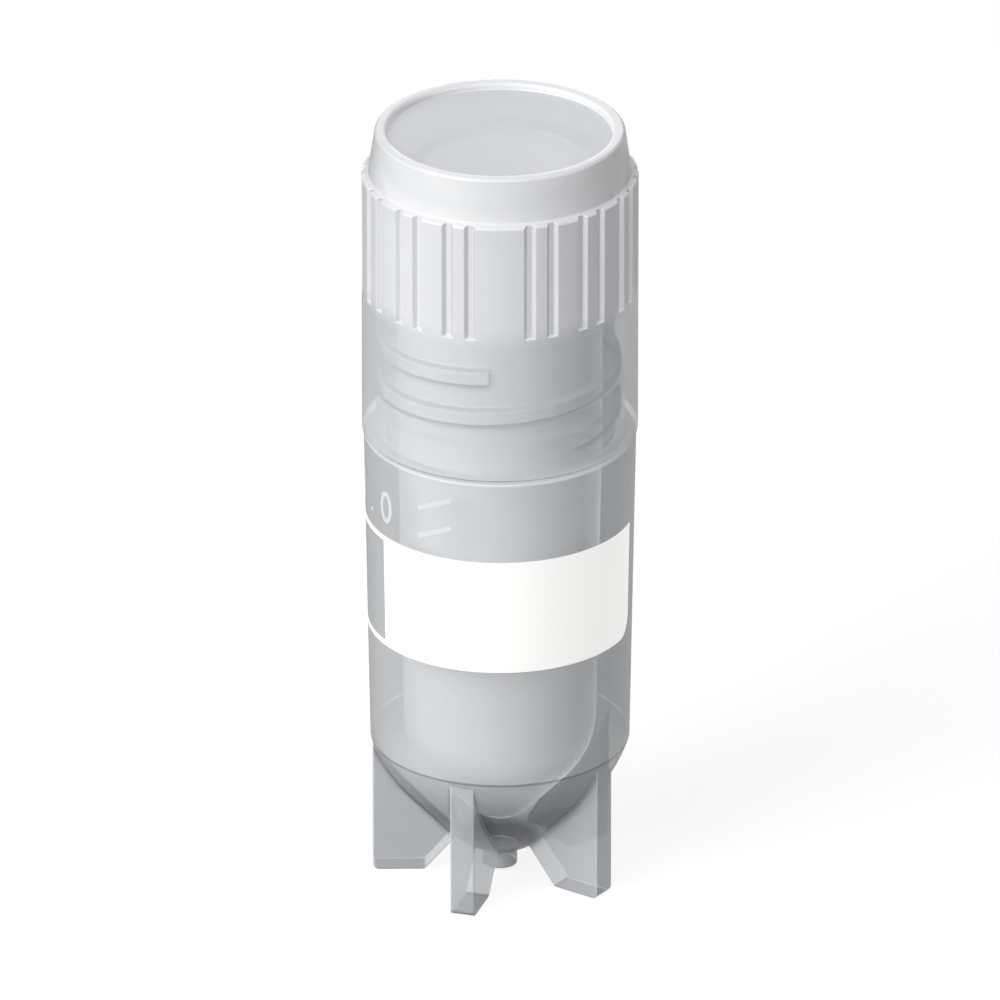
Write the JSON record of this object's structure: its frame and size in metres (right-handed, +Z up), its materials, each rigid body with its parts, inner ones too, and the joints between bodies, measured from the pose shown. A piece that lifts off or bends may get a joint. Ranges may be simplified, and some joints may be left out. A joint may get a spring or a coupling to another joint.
{
  "type": "cryovial",
  "caption": "Self-standing cryogenic storage vial with a finned foot, external screw thread, skirted grooved screw cap and sealing washer.",
  "frame": {"origin": "on the vial's axis, on the surface that its foot stands on", "axes": "+Z up along the vial's axis, from the foot to the cap; -Y is the side of the writing panel"},
  "size_m": [0.0126, 0.0126, 0.0373],
  "materials": {
    "tube_plastic": "natural polypropylene, moulded smooth, translucent",
    "cap_plastic": "natural polypropylene, moulded smooth, translucent",
    "seal_silicone": "translucent silicone rubber"
  },
  "bodies": {
    "tube": {"tube": "tube_plastic"},
    "seal": {"seal": "seal_silicone"},
    "cap": {"cap": "cap_plastic"}
  },
  "joints": [
    {"name": "cap_lift", "type": "slide", "parent": "tube", "child": "seal", "axis": [0, 0, 1], "range_m": [0, 0.0125]},
    {"name": "cap_turn", "type": "hinge", "parent": "seal", "child": "cap", "pos_m": [0, 0, 0.03], "axis": [0, 0, 1], "range_deg": [0, 2250]}
  ],
  "couplings": [
    {"joint": "cap_turn", "follows": "cap_lift", "rad_per_m": 3141.6}
  ]
}
